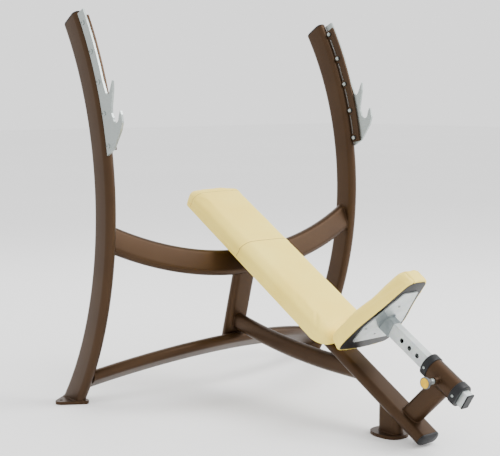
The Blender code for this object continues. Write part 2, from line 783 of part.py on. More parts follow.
def bracket_flange_outline():
    """Welding flange round the collar, with one swept wing to the plate's edge on the knob's side."""
    corners = [
        (0.0, -0.034, 0.0), (0.021, -0.036, 0.004), (0.030, -0.020, 0.004), (0.024, 0.024, 0.004),
        (0.0, 0.028, 0.0), (-0.020, 0.024, 0.0), (-0.084, -0.043, 0.004), (-0.070, -0.079, 0.004),
        (-0.021, -0.036, 0.0),
    ]
    return filleted(corners, steps=3)


def build_seat_post(slide):
    half_a, half_b = (size / 2 for size in SEAT_POST_SIZE)
    section = rectangle(half_a, half_b, SEAT_POST_CORNER)
    post = part(
        "seat_post", prism("seat_post", section, *SEAT_POST_SPAN, open_ends=True), "zinc", parent=slide
    )
    hollow(post, SEAT_POST_WALL)
    stations = [PIN_STATION + HOLE_PITCH * i for i in range(HOLES)]
    holes = rods("height_holes", [(0, s) for s in stations], HOLE_RADIUS, -0.03, -0.005, "X")
    boolean(post, [cutter("height_holes", holes, parent=slide)])
    end = SEAT_POST_SPAN[0]
    inside = SEAT_POST_WALL + GAP
    core = rectangle(half_a - inside, half_b - inside, SEAT_POST_CORNER - 0.002)
    lip = rectangle(half_a + 0.0008, half_b + 0.0008, SEAT_POST_CORNER)
    soft = rectangle(half_a - 0.0010, half_b - 0.0010, SEAT_POST_CORNER)
    layers = [(core, end + 0.018), (core, end - GAP), (lip, end - GAP), (lip, end - 0.0035), (soft, end - PLUG_LIP)]
    part("seat_post_plug", stack("seat_post_plug", layers), "black_plastic", parent=slide)


def build_seat_bracket(slide, tilt, plate_low):
    """Collar round the post's top, welded to a winged flange under the seat plate."""
    half_a, half_b = (size / 2 for size in SEAT_POST_SIZE)
    collar = rectangle(half_a + BRACKET_WALL, half_b + BRACKET_WALL, 0.005)
    bracket = part(
        "seat_bracket", prism("seat_bracket", collar, BRACKET_FOOT, 0.37), "bracket_steel", parent=slide
    )
    above = prism("above_flange", rectangle(0.3, 0.3), plate_low - GAP - FLANGE_THICK / 2, 0.2)
    flange = prism(
        "bracket_flange", bracket_flange_outline(), plate_low - GAP - FLANGE_THICK, plate_low - GAP
    )
    socket = prism("bracket_socket", rectangle(half_a + GAP, half_b + GAP, SEAT_POST_CORNER), 0.2, 0.4)
    boolean(bracket, [cutter("above_flange", above, parent=tilt)])
    boolean(bracket, [cutter("bracket_flange", flange, parent=tilt)], "UNION")
    boolean(bracket, [cutter("bracket_socket", socket, parent=slide)])


def build_seat(slide):
    """Everything that rides on the post; seat heights are measured square to the seat's underside."""
    tilt = empty("seat_tilt", (0, 0, SEAT_STATION), (math.pi / 2 - INCLINE - SEAT_TILT, 0, 0), slide)
    plate_low = -GAP - PLATE_THICK
    build_seat_post(slide)
    build_seat_bracket(slide, tilt, plate_low)

    screw_room = rods("seat_screw_room", SEAT_SCREWS, 0.0029, -0.03, 0.0105, "Z", 12)
    screw_room = cutter("seat_screw_room", screw_room, parent=tilt)
    spare_hole = rods("plate_spare_hole", [PLATE_SPARE_HOLE], 0.0045, -0.01, 0.004)
    plate = part(
        "seat_plate", prism("seat_plate", seat_plate_outline(), plate_low, -GAP), "zinc", parent=tilt
    )
    boolean(plate, [screw_room, cutter("plate_spare_hole", spare_hole, parent=tilt)])
    outline = seat_outline()
    shell = part(
        "seat_shell", prism("seat_shell", offset(outline, -SHELL_INSET), 0, SHELL_THICK), "black_plastic",
        parent=tilt,
    )
    boolean(shell, [screw_room])
    head = plate_low - GAP
    profile = [
        (0, 0.0090), (0.0025, 0.0090), (0.0025, head), (0.0050, head), (0.0050, head - 0.0015),
        (0.0030, head - 0.0028), (0, head - 0.0030),
    ]
    for i, (x, y) in enumerate(SEAT_SCREWS):
        turned(f"seat_screw_{i + 1}", profile, "steel", location=(x, y, 0), parent=tilt)
    base = SHELL_THICK + GAP
    layers = [
        (offset(outline, grow), height)
        for grow, height in (
            (0.003, base), (SEAT_PAD_OVERHANG, base + 0.008), (SEAT_PAD_OVERHANG, 0.042),
            (0.004, 0.055), (-0.006, 0.062), (-0.018, SEAT_PAD_TOP),
        )
    ]
    part("seat_pad", stack("seat_pad", layers), "cushion", parent=tilt)


# ------------------------------------------------------------------ back pad


def pad_plan(inset):
    half, low, high = PAD_HALF_WIDTH - inset, PAD_SPAN[0] + inset, PAD_SPAN[1] - inset
    lower, upper = (max(radius - inset, 0.004) for radius in PAD_CORNERS)
    crown = (0, high + PAD_CROWN[0], PAD_CROWN[1])
    corners = [(half, low, lower), (half, high, upper), crown, (-half, high, upper), (-half, low, lower)]
    return filleted(corners, steps=5)


def build_back_pad(incline):
    """Fixed cushion on a board, held off the spine by two steel straps."""
    board_top = PAD_BOTTOM + BOARD_THICK
    part(
        "back_pad_board", prism("back_pad_board", pad_plan(BOARD_INSET), PAD_BOTTOM, board_top),
        "board", parent=incline,
    )
    layers = [
        (pad_plan(inset), height)
        for inset, height in (
            (0.005, board_top + GAP), (0.0, board_top + 0.008), (0.0, 0.066), (0.005, 0.081),
            (0.014, 0.091), (0.026, PAD_TOP),
        )
    ]
    part("back_pad", stack("back_pad", layers), "cushion", parent=incline)
    for label, station in STRAP_STATIONS.items():
        name = f"pad_strap_{label}"
        plan = rectangle(*STRAP_HALF, 0.006, steps=3, centre=(0, station))
        plate = prism(name, plan, SPINE_TOP + GAP, PAD_BOTTOM - GAP)
        part(name, plate, "bracket_steel", parent=incline)


# ------------------------------------------------------------------ assembly


def build_bench():
    incline = empty("incline_datum", (0, INCLINE_Y, INCLINE_Z), (INCLINE, 0, 0))
    post_turn = (-math.pi / 2, 0, 0)
    sleeve_axis = empty("sleeve_axis", (0, 0, POST_LINE), post_turn, incline)
    slide = empty("seat_slide", (0, 0, POST_LINE), post_turn, incline)
    pin_axis = empty("pin_axis", (0, 0, PIN_STATION), (0, -math.pi / 2, 0), sleeve_axis)

    wide = rectangle(0.3, 1.0, centre=(0, 0.6))
    above_spine = cutter("above_spine", prism("above_spine", wide, -SPINE_TOP - GAP, 0.4), parent=incline)
    below_spine = cutter("below_spine", prism("below_spine", wide, -0.4, SPINE_TOP + GAP), parent=incline)

    build_uprights()
    rooms = build_crossmembers()
    build_rear_post_and_brace(rooms, above_spine)
    build_spine(incline, rooms)
    build_front_leg(above_spine)
    build_hooks()
    sleeve_room = build_sleeve(sleeve_axis, below_spine, pin_axis)
    build_pin_housing(pin_axis, sleeve_room)
    build_pull_pin(pin_axis)
    build_seat(slide)
    build_back_pad(incline)


for leftover in list(bpy.data.objects):
    bpy.data.objects.remove(leftover, do_unlink=True)
PARTS = collection(OBJECT_NAME)
CUTTERS = collection("cutters")
build_bench()
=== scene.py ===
"""Looks for the incline bench: fine tubes with weld beads, upholstery, plated steel and moulded plastic.

Metres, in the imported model's frame: +Z up, +Y towards the uprights, the pull knob on -X.
"""

import json
import math

import bmesh
import bpy
from mathutils import Matrix, Vector, noise
from mathutils.bvhtree import BVHTree


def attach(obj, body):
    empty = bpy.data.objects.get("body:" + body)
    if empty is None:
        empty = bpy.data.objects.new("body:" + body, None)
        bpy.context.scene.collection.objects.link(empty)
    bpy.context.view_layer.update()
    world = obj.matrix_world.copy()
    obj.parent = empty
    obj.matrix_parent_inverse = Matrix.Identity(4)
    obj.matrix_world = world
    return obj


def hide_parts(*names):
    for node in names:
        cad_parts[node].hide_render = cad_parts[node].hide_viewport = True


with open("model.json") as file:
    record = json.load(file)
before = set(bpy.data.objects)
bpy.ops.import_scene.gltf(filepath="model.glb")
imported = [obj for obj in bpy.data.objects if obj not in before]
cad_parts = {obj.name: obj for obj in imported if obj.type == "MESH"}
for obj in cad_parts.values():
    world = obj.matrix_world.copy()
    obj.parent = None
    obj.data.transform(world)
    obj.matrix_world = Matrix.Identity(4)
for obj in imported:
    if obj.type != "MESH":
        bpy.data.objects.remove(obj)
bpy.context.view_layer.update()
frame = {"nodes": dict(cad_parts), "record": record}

# Obround frame tube, and the members' arcs, as the frame's solids have them
TUBE_THICK, TUBE_WIDE = 0.042, 0.098
MEMBER_STEPS = 96
UPRIGHT_X = 0.601
INNER_FACE = UPRIGHT_X - TUBE_THICK / 2
ARC_CENTRE = (1.6977, 0.7467)
ARC_RADIUS = 1.268
ARC_SPAN = (math.radians(-39.0), math.radians(31.95))
FOOT_TOP = 0.012
# How far a welded end sinks into what it meets
SINK = 0.0005
CAP_BAND, CAP_HEIGHT = 0.002, 0.014
BOLTS_A_SIDE = 5
BOLT_RING, BOLT_TOP, BOLT_PITCH = 1.3310, 29.5, 4.95
BOLT_HEAD_X, BOLT_NUT_X = 0.6149, 0.5985
CROSSBAR = {"middle": (0.3885, 0.5077), "lean": math.radians(71.0), "bow": 0.1465, "twist": 0.0}
LOWER = {
    "middle": (0.4388, 0.1878), "lean": math.radians(-30.8), "bow": 0.2081, "twist": math.radians(-3.1),
}
POST_FOOT, POST_HEAD = (0.465, 0.180), (0.384, 0.4812)
BRACE_SIZE = (0.048, 0.067)
BRACE_CENTRE, BRACE_RADIUS = (-0.176, 2.785), 2.587
BRACE_SPAN = (math.radians(-103.3), math.radians(-90.8))
BRACE_STEPS = 40
SPINE_LENGTH = 1.162
LEG_Y = -0.395

# Support, sleeve, pin and seat, as distances along the incline and its sleeve
SUPPORT_FOOT, SUPPORT_WIDE, SUPPORT_LEAN = (-0.488, 0.091), 0.074, 45
SLEEVE_SIZE, SLEEVE_SPAN, SLEEVE_WALL = (0.066, 0.077), (-0.010, 0.100), 0.0035
COLLAR_LENGTH, COLLAR_LIP, COLLAR_SLOT = 0.028, 0.003, (0.0165, 0.0270)
POST_LINE, PIN_STATION, SEAT_STATION = 0.216, 0.0514, 0.351
SEAT_SCREWS = ((0.078, 0.024), (-0.078, 0.024), (0.0, -0.086))

# Back pad: span and seams along the incline, heights square to it
PAD_SPAN, PAD_HALF_WIDTH = (0.462, 1.356), 0.129
PAD_BOTTOM, PAD_TOP, END_BULGE = 0.0245, 0.0905, 0.022
PAD_CORNERS = (0.060, 0.030)
BULGE_START, BULGE_RUN = 1.25, 0.08
PAD_SEAM, PAD_END_SEAM = 0.988, 1.316
SEAT_BASE, SEAT_TOP = 0.0012, 0.0600
SEAT_SEAM, SEAT_SEAM_END = 0.027, -0.165

# Cushion making: cloth pressure, its frames, and the share of the solid that is stuffing
PRESSURE, CLOTH_FRAMES, FILL = 4.0, 20, 0.95

# Camera and lights: places and sizes in metres, angles in degrees, lens in millimetres, lamps in watts
CAMERA_SPOT, CAMERA_PITCH, CAMERA_HEADING, CAMERA_LENS = (-2.74245, -2.90561, 1.14879), 6.807, -40.111, 80.342
WORLD_LIGHT = 1.6
LIGHTS = {
    "key": ((1.8, -2.8, 4.4), (2.2, 2.2), 260),
    "fill": ((3.6, -1.5, 2.0), (3.0, 2.0), 60),
    "rim": ((0.5, 3.6, 3.4), (3.0, 1.5), 60),
}
LIGHT_AIM = (0, 0, 0.6)
FLOOR_REACH = 30

INCLINE = Matrix.Translation((0, -0.5562, 0.0276)) @ Matrix.Rotation(math.radians(30), 4, "X")
SLEEVE = INCLINE @ Matrix.Translation((0, 0, POST_LINE)) @ Matrix.Rotation(math.radians(-90), 4, "X")
PIN = SLEEVE @ Matrix.Translation((0, 0, PIN_STATION)) @ Matrix.Rotation(math.radians(-90), 4, "Y")
SEAT = SLEEVE @ Matrix.Translation((0, 0, SEAT_STATION)) @ Matrix.Rotation(math.radians(15), 4, "X")


# ------------------------------------------------------------------ materials


def linear(*levels):
    """sRGB levels from 0 to 255 as a linear colour."""
    return tuple(((v / 255 + 0.055) / 1.055) ** 2.4 for v in levels) + (1.0,)


class Surface:
    """A Principled material whose nodes are added by name and wired with plug()."""

    def __init__(self, name, roughness, metallic=0.0, **sockets):
        self.material = bpy.data.materials.new(name)
        self.material.use_nodes = True
        self.tree = self.material.node_tree
        self.shader = self.tree.nodes["Principled BSDF"]
        self.shader.inputs["Roughness"].default_value = roughness
        self.shader.inputs["Metallic"].default_value = metallic
        for socket, value in sockets.items():
            self.shader.inputs[socket.replace("_", " ")].default_value = value
        self.where = self.tree.nodes.new("ShaderNodeTexCoord").outputs["Object"]

    def plug(self, source, target):
        self.tree.links.new(source, target)

    def noise(self, scale, detail=2.0, stretch=None):
        node = self.tree.nodes.new("ShaderNodeTexNoise")
        node.inputs["Scale"].default_value = scale
        node.inputs["Detail"].default_value = detail
        if stretch:
            mapping = self.tree.nodes.new("ShaderNodeMapping")
            mapping.inputs["Scale"].default_value = stretch
            self.plug(self.where, mapping.inputs["Vector"])
            self.plug(mapping.outputs["Vector"], node.inputs["Vector"])
        else:
            self.plug(self.where, node.inputs["Vector"])
        return node.outputs["Fac"]

    def cells(self, scale):
        node = self.tree.nodes.new("ShaderNodeTexVoronoi")
        node.inputs["Scale"].default_value = scale
        self.plug(self.where, node.inputs["Vector"])
        return node.outputs

    def ramp(self, factor, *stops):
        """Colour ramp: stops are (position, colour)."""
        node = self.tree.nodes.new("ShaderNodeValToRGB")
        elements = node.color_ramp.elements
        while len(elements) < len(stops):
            elements.new(0.5)
        for element, (position, colour) in zip(elements, stops):
            element.position = position
            element.color = colour
        self.plug(factor, node.inputs["Fac"])
        return node.outputs["Color"]

    def spread(self, factor, low, high):
        """The factor's 0 to 1 stretched over low to high."""
        node = self.tree.nodes.new("ShaderNodeMapRange")
        node.inputs["To Min"].default_value = low
        node.inputs["To Max"].default_value = high
        self.plug(factor, node.inputs["Value"])
        return node.outputs["Result"]

    def mix(self, share, one, other, kind):
        node = self.tree.nodes.new("ShaderNodeMix")
        node.data_type = "RGBA"
        node.blend_type = kind
        node.inputs["Factor"].default_value = share
        self.plug(one, node.inputs["A"])
        self.plug(other, node.inputs["B"])
        return node.outputs["Result"]

    def colour(self, source):
        self.plug(source, self.shader.inputs["Base Color"])

    def rough(self, source):
        self.plug(source, self.shader.inputs["Roughness"])

    def bump(self, *layers):
        """Bump layers of (height, strength, distance), one on another."""
        normal = None
        for height, strength, distance in layers:
            node = self.tree.nodes.new("ShaderNodeBump")
            node.inputs["Strength"].default_value = strength
            node.inputs["Distance"].default_value = distance
            self.plug(height, node.inputs["Height"])
            if normal:
                self.plug(normal, node.inputs["Normal"])
            normal = node.outputs["Normal"]
        self.plug(normal, self.shader.inputs["Normal"])


def bronze_paint():
    """Metallic powder coat: fine flake, slight orange peel, broad tone variation."""
    s = Surface("bronze_paint", 0.42, 0.60, Coat_Weight=0.04, Coat_Roughness=0.25, Specular_IOR_Level=0.2)
    tone = s.ramp(s.noise(5.0, 3), (0.3, linear(56, 39, 24)), (0.7, linear(64, 46, 29)))
    flake = s.cells(1800.0)["Color"]
    s.colour(s.mix(0.10, tone, flake, "OVERLAY"))
    s.rough(s.spread(s.noise(900.0), 0.36, 0.48))
    s.bump((s.noise(260.0, 2), 0.10, 0.0006), (s.noise(1500.0, 1), 0.06, 0.0002))
    return s.material


def bright_steel():
    """Plated plate with fine grinding marks."""
    s = Surface("bright_steel", 0.34, 0.85)
    grain = s.noise(60.0, 4, stretch=(1, 1, 28))
    s.colour(s.ramp(grain, (0.25, linear(140, 148, 146)), (0.75, linear(170, 177, 174))))
    s.rough(s.spread(s.noise(40.0, 4), 0.28, 0.44))
    s.bump((grain, 0.12, 0.0003), (s.noise(500.0), 0.05, 0.0002))
    return s.material


def zinc():
    """Galvanised tube and plate: soft spangle."""
    s = Surface("zinc", 0.42, 0.75)
    spangle = s.cells(140.0)["Color"]
    tone = s.ramp(s.noise(22.0, 3), (0.3, linear(182, 188, 187)), (0.7, linear(204, 209, 207)))
    s.colour(s.mix(0.10, tone, spangle, "SOFT_LIGHT"))
    s.rough(s.spread(s.cells(140.0)["Distance"], 0.36, 0.50))
    s.bump((s.noise(320.0, 2), 0.08, 0.0003))
    return s.material


def bracket_steel():
    """Dull formed steel."""
    s = Surface("bracket_steel", 0.48, 0.7)
    s.colour(s.ramp(s.noise(35.0, 4), (0.3, linear(128, 136, 138)), (0.7, linear(152, 160, 160))))
    s.rough(s.spread(s.noise(120.0), 0.42, 0.56))
    s.bump((s.noise(420.0, 2), 0.12, 0.0003))
    return s.material


def plastic(name, low, high):
    """Moulded plastic with a spark-eroded grain."""
    s = Surface(name, 0.46, Specular_IOR_Level=0.3)
    s.colour(s.ramp(s.noise(60.0, 2), (0.3, linear(*low)), (0.7, linear(*high))))
    s.rough(s.spread(s.noise(300.0), 0.40, 0.54))
    s.bump((s.noise(1400.0, 1), 0.15, 0.0003))
    return s.material


def vinyl():
    """Cream upholstery: pebble grain, and a slightly deeper tone in broad patches."""
    s = Surface("cream_vinyl", 0.50, Specular_IOR_Level=0.35)
    s.colour(s.ramp(s.noise(6.0, 3), (0.3, linear(250, 220, 100)), (0.7, linear(254, 229, 114))))
    s.rough(s.spread(s.noise(80.0, 3), 0.46, 0.58))
    grain = s.cells(620.0)["Distance"]
    s.bump((s.noise(26.0, 2), 0.06, 0.002), (grain, 0.16, 0.0004), (s.noise(1600.0, 1), 0.05, 0.0002))
    return s.material


def seam_shade_paint():
    """Olive stitching, painted darker than the cover to stand for the shade in the seam's groove."""
    s = Surface("seam_shade_paint", 0.7)
    # Painted shade: the dark olive stands for the shade in the seam's groove
    s.colour(s.ramp(s.noise(400.0, 1), (0.3, linear(140, 122, 70)), (0.7, linear(158, 140, 84))))
    s.bump((s.noise(900.0, 1), 0.2, 0.0003))
    return s.material


MATERIALS = {
    "frame_paint": bronze_paint(),
    "steel": bright_steel(),
    "zinc": zinc(),
    "bracket_steel": bracket_steel(),
    "black_plastic": plastic("black_plastic", (9, 10, 12), (16, 17, 20)),
    "grey_plastic": plastic("grey_plastic", (78, 80, 80), (94, 96, 96)),
    "yellow_plastic": plastic("yellow_plastic", (206, 158, 8), (224, 180, 16)),
    "spring_steel": bracket_steel(),
    "cushion": vinyl(),
    "board": vinyl(),
    "seam_shade_strip": seam_shade_paint(),
}


# ------------------------------------------------------------------ building


def clamped(value):
    return max(0.0, min(1.0, value))


def circle(radius, steps):
    angles = [2 * math.pi * i / steps for i in range(steps)]
    return [(radius * math.cos(t), radius * math.sin(t)) for t in angles]


def obround(thick, wide, grow=0.0, steps=16):
    """Outline of two half circles joined by straight sides, grown outwards."""
    radius, reach = thick / 2 + grow, (wide - thick) / 2
    points = []
    for end in (1, -1):
        for i in range(steps + 1):
            angle = math.pi * i / steps
            points.append((end * radius * math.cos(angle), end * (reach + radius * math.sin(angle))))
    return points


def swapped(outline):
    return [(b, a) for a, b in outline]


def turned_by(outline, angle):
    c, s = math.cos(angle), math.sin(angle)
    return [(a * c - b * s, a * s + b * c) for a, b in outline]


def piece(name, mesh, slot, body="frame", replaces=(), smooth=35):
    """A new visible piece: material, slot, the body it rides on and the CAD nodes it stands for."""
    made = bpy.data.objects.new(name, mesh)
    bpy.context.scene.collection.objects.link(made)
    mesh.materials.clear()
    mesh.materials.append(MATERIALS[slot])
    mesh.shade_smooth()
    mesh.set_sharp_from_angle(angle=math.radians(smooth))
    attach(made, body)
    if replaces:
        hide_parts(*replaces)
    return made


def skin(name, rings, closed=False):
    """Mesh through rings of equally many world points, capped at both ends or closed on itself."""
    bm = bmesh.new()
    loops = [[bm.verts.new(point) for point in ring] for ring in rings]
    pairs = list(zip(loops, loops[1:])) + ([(loops[-1], loops[0])] if closed else [])
    for one, other in pairs:
        for i in range(len(one)):
            bm.faces.new((one[i - 1], one[i], other[i], other[i - 1]))
    if not closed:
        bm.faces.new(loops[0])
        bm.faces.new(loops[-1])
    bmesh.ops.recalc_face_normals(bm, faces=bm.faces)
    mesh = bpy.data.meshes.new(name)
    bm.to_mesh(mesh)
    bm.free()
    return mesh


def placed(outline, matrix, height=0.0):
    return [matrix @ Vector((a, b, height)) for a, b in outline]


def layered(name, layers, matrix, closed=False):
    """Solid through (outline, height) layers; closed when they go up the outside and down the inside."""
    return skin(name, [placed(outline, matrix, height) for outline, height in layers], closed)


def turned(name, profile, matrix, steps=48, closed=False):
    """Turned solid about the matrix's Z, through (radius, height) points."""
    return layered(name, [(circle(radius, steps), height) for radius, height in profile], matrix, closed)


def softened(made, width):
    """Rounds the sharp edges of a kept solid."""
    bevel = made.modifiers.new("edge", "BEVEL")
    bevel.width = width
    bevel.segments = 2
    bevel.limit_method = "ANGLE"
    bevel.angle_limit = math.radians(30)
    bevel.harden_normals = True


# ------------------------------------------------------------------ frame tubes


def arc_station(centre, radius, angle):
    """Frame on an arc in a plane across X: local X across, local Y outwards, local Z along."""
    outward = Vector((0, -math.cos(angle), math.sin(angle)))
    along = Vector((0, math.sin(angle), math.cos(angle)))
    spot = Vector((0, *centre)) + outward * radius
    turn = Matrix((Vector((1, 0, 0)), outward, along)).transposed().to_4x4()
    return Matrix.Translation(spot) @ turn


def straight(matrix, low, high):
    """The two stations of a straight tube along the matrix's Z."""
    return [matrix @ Matrix.Translation((0, 0, height)) for height in (low, high)]


def surface_tree(made):
    return BVHTree.FromObject(made, bpy.context.evaluated_depsgraph_get())


def coped_ring(outline, station, target, toward):
    """The outline sent along its axis until it sinks just into the target's surface."""
    tree = surface_tree(target)
    direction = (station.to_3x3() @ Vector((0, 0, toward))).normalized()
    starts = placed(outline, station)
    reaches = []
    for point in starts:
        hit, _, _, distance = tree.ray_cast(point, direction)
        reaches.append(None if hit is None else distance + SINK)
    furthest = max(reach for reach in reaches if reach is not None)
    return [
        point + direction * (furthest if reach is None else reach)
        for point, reach in zip(starts, reaches)
    ]


def bead(name, loop, radius=0.0030):
    """Rippled weld bead along a closed loop of points."""
    dense = []
    for i, point in enumerate(loop):
        before = loop[i - 1]
        parts = max(1, int((point - before).length / 0.0022))
        dense += [before.lerp(point, k / parts) for k in range(parts)]
    middle = sum(dense, Vector()) / len(dense)
    rings = []
    for i, point in enumerate(dense):
        along = (dense[(i + 1) % len(dense)] - dense[i - 1]).normalized()
        out = point - middle
        out = (out - along * out.dot(along)).normalized()
        up = along.cross(out)
        size = radius * (1 + 0.15 * math.sin(i * 2.1) + 0.15 * noise.noise(point * 90))
        rings.append([point + (out * a + up * b) * size for a, b in circle(1.0, 8)])
    return piece(name, skin(name, rings, closed=True), "frame_paint", smooth=80)


def strut(name, outline, stations, low, high, node):
    """Tube through the stations, coped and welded to the target at each end."""
    first = coped_ring(outline, stations[0], low, -1)
    last = coped_ring(outline, stations[-1], high, 1)
    inner = [placed(outline, s) for s in stations]
    made = piece(name, skin(name, [first, *inner, last]), "frame_paint", replaces=(node,))
    bead(f"{name}_low_weld", first)
    bead(f"{name}_high_weld", last)
    return made


def dome_cap(name, station, node):
    """Black push-in cap: a thin band, then a dome over the tube's end."""
    rim = obround(TUBE_THICK, TUBE_WIDE)
    plug = obround(TUBE_THICK, TUBE_WIDE, -0.004)
    chamfer = obround(TUBE_THICK, TUBE_WIDE, -0.0006)
    layers = [(plug, -0.010), (plug, 0.0002), (chamfer, 0.0003), (rim, 0.0008), (rim, CAP_BAND)]
    for i in range(1, 15):
        share = math.cos(math.pi / 2 * i / 15)
        height = CAP_BAND + (CAP_HEIGHT - CAP_BAND) * math.sqrt(1 - share**2)
        layers.append(([(a * share, b * share) for a, b in rim], height))
    piece(name, layered(name, layers, station), "black_plastic", replaces=(node,), smooth=50)


def axes(x, y, z):
    """Turn that carries the local axes to these directions."""
    return Matrix((Vector(x), Vector(y), Vector(z))).transposed().to_4x4()


def build_uprights():
    """The two bent tubes, cut level on their foot plates, with a weld below and a cap on top."""
    section = obround(TUBE_THICK, TUBE_WIDE)
    for side, label in ((-1, "left"), (1, "right")):
        shift = Matrix.Translation((side * UPRIGHT_X, 0, 0))
        start, end = ARC_SPAN
        angles = [start + (end - start) * i / MEMBER_STEPS for i in range(MEMBER_STEPS + 1)]
        stations = [shift @ arc_station(ARC_CENTRE, ARC_RADIUS, a) for a in angles]
        foot = []
        for a, b in section:
            radius = ARC_RADIUS + b
            angle = math.asin((FOOT_TOP - SINK - ARC_CENTRE[1]) / radius)
            y = ARC_CENTRE[0] - radius * math.cos(angle)
            foot.append(Vector((side * UPRIGHT_X + a, y, FOOT_TOP - SINK)))
        rings = [placed(section, s) for s in stations]
        rings = [foot] + [ring for ring in rings if min(point.z for point in ring) > FOOT_TOP]
        name = f"upright_tube_{label}"
        piece(name, skin(name, rings), "frame_paint", replaces=(f"upright_{label}",))
        bead(f"upright_weld_{label}", [point + Vector((0, 0, SINK)) for point in foot])
        dome_cap(f"cap_{label}", stations[-1], f"upright_cap_{label}")


def build_crossmembers():
    """The two bowed tubes, cut square at the uprights' inner faces."""
    made = {}
    for node, shape in (("crossbar", CROSSBAR), ("lower_cross_member", LOWER)):
        section = turned_by(obround(TUBE_THICK, TUBE_WIDE), shape["twist"])
        radius = (UPRIGHT_X**2 + shape["bow"] ** 2) / (2 * shape["bow"])
        along = Vector((0, math.cos(shape["lean"]), math.sin(shape["lean"])))
        side = Vector((1, 0, 0))
        normal = side.cross(along)
        centre = Vector((0, *shape["middle"])) + along * radius
        rings = []
        for i in range(MEMBER_STEPS + 1):
            ring = []
            for a, b in section:
                angle = math.asin((INNER_FACE + SINK) * (2 * i / MEMBER_STEPS - 1) / (radius + b))
                outward = side * math.sin(angle) - along * math.cos(angle)
                ring.append(centre + normal * a + outward * (radius + b))
            rings.append(ring)
        name = f"{node}_tube"
        made[node] = piece(name, skin(name, rings), "frame_paint", replaces=(node,))
        bead(f"{name}_left_weld", rings[0])
        bead(f"{name}_right_weld", rings[-1])
    return made


def build_frame():
    """The frame's tubes and caps; returns the spine, which the sleeve's support stands on."""
    build_uprights()
    members = build_crossmembers()
    foot_point, head_point = Vector((0, *POST_FOOT)), Vector((0, *POST_HEAD))
    rise = head_point - foot_point
    post_frame = Matrix.Translation(foot_point) @ Matrix.Rotation(math.atan2(-rise.y, rise.z), 4, "X")
    section = swapped(obround(TUBE_THICK, TUBE_WIDE))
    middles = straight(post_frame, rise.length * 0.45, rise.length * 0.55)
    low, high = members["lower_cross_member"], members["crossbar"]
    post = strut("rear_post_tube", section, middles, low, high, "rear_post")

    spine_frame = INCLINE @ Matrix.Rotation(math.radians(-90), 4, "X")
    rings = [placed(section, s) for s in straight(spine_frame, 0, SPINE_LENGTH)]
    spine = piece("spine_tube", skin("spine_tube", rings), "frame_paint", replaces=("spine",))
    dome_cap("cap_front", INCLINE @ axes((0, 0, 1), (-1, 0, 0), (0, -1, 0)), "spine_cap_front")
    rear_end = INCLINE @ Matrix.Translation((0, SPINE_LENGTH, 0))
    dome_cap("cap_rear", rear_end @ axes((0, 0, 1), (1, 0, 0), (0, 1, 0)), "spine_cap_rear")

    start, end = BRACE_SPAN
    angles = [start + (end - start) * i / BRACE_STEPS for i in range(BRACE_STEPS + 1)]
    stations = [arc_station(BRACE_CENTRE, BRACE_RADIUS, a) for a in angles]
    strut("brace_tube", obround(*BRACE_SIZE), stations, post, spine, "brace_strut")

    stations = straight(Matrix.Translation((0, LEG_Y, 0)), 0.05, 0.06)
    plate = frame["nodes"]["foot_plate_front"]
    strut("front_leg_tube", obround(TUBE_THICK, TUBE_WIDE), stations, plate, spine, "front_leg")
    return spine


# ------------------------------------------------------------------ sleeve and pin


def ring_match(outline, half_a, half_b):
    """A rectangle's outline with one point at each of the given outline's directions."""
    matched = []
    for a, b in outline:
        angle = math.atan2(b, a)
        reach_a = half_a / max(abs(math.cos(angle)), 1e-6)
        reach_b = half_b / max(abs(math.sin(angle)), 1e-6)
        reach = min(reach_a, reach_b)
        matched.append((reach * math.cos(angle), reach * math.sin(angle)))
    return matched


def build_sleeve(spine):
    """The guide sleeve on its support, and the two collars the seat post runs in."""
    outer = obround(*SLEEVE_SIZE)
    inner = obround(*SLEEVE_SIZE, -SLEEVE_WALL)
    low, high = SLEEVE_SPAN
    layers = [(outer, low), (outer, high), (inner, high), (inner, low)]
    mesh = layered("sleeve_tube", layers, SLEEVE, closed=True)
    sleeve = piece("sleeve_tube", mesh, "frame_paint", replaces=("seat_sleeve",))
    lean = Matrix.Rotation(math.radians(SUPPORT_LEAN), 4, "X")
    support_frame = Matrix.Translation((0, *SUPPORT_FOOT)) @ lean
    stations = straight(support_frame, 0.07, 0.09)
    strut("support_tube", obround(TUBE_THICK, SUPPORT_WIDE), stations, spine, sleeve, "sleeve_support")

    slot = ring_match(outer, *COLLAR_SLOT)
    for label, end, outward in (("lower", low, -1), ("upper", high, 1)):
        layers = []
        for grow, lift in (
            (0.0018, 0.0003), (0.0028, 0.0010), (COLLAR_LIP, 0.0020), (COLLAR_LIP, 0.0235),
            (0.0022, 0.0262), (0.0004, 0.0277), (-0.0020, COLLAR_LENGTH),
        ):
            layers.append((obround(*SLEEVE_SIZE, grow), end + outward * lift))
        layers += [(slot, end + outward * COLLAR_LENGTH), (slot, end + outward * 0.0003)]
        name = f"collar_{label}"
        mesh = layered(name, layers, SLEEVE, closed=True)
        piece(name, mesh, "black_plastic", replaces=(f"sleeve_collar_{label}",), smooth=40)
        spot = Matrix.Translation((-SLEEVE_SIZE[0] / 2 - COLLAR_LIP, 0, end + outward * COLLAR_LENGTH / 2))
        head = SLEEVE @ spot @ Matrix.Rotation(math.radians(-90), 4, "Y")
        button_screw(f"collar_screw_head_{label}", head, 0.0048, 0.0027, "frame", f"collar_screw_{label}")


def button_screw(name, matrix, radius, height, body, node):
    """Domed head with a round-bottomed drive recess, seated at the matrix's origin."""
    recess = radius * 0.42
    profile = [(0.0004, height * 0.45), (recess, height * 0.5), (recess, height * 0.94)]
    for i in range(1, 7):
        angle = math.pi / 2 * i / 6
        reach = recess + (radius - recess) * math.sin(angle)
        profile.append((reach, height * (0.2 + 0.74 * math.cos(angle))))
    profile += [(radius, -0.0006), (0.0004, -0.0006)]
    piece(name, turned(name, profile, matrix, steps=32), "steel", body, (node,), smooth=40)


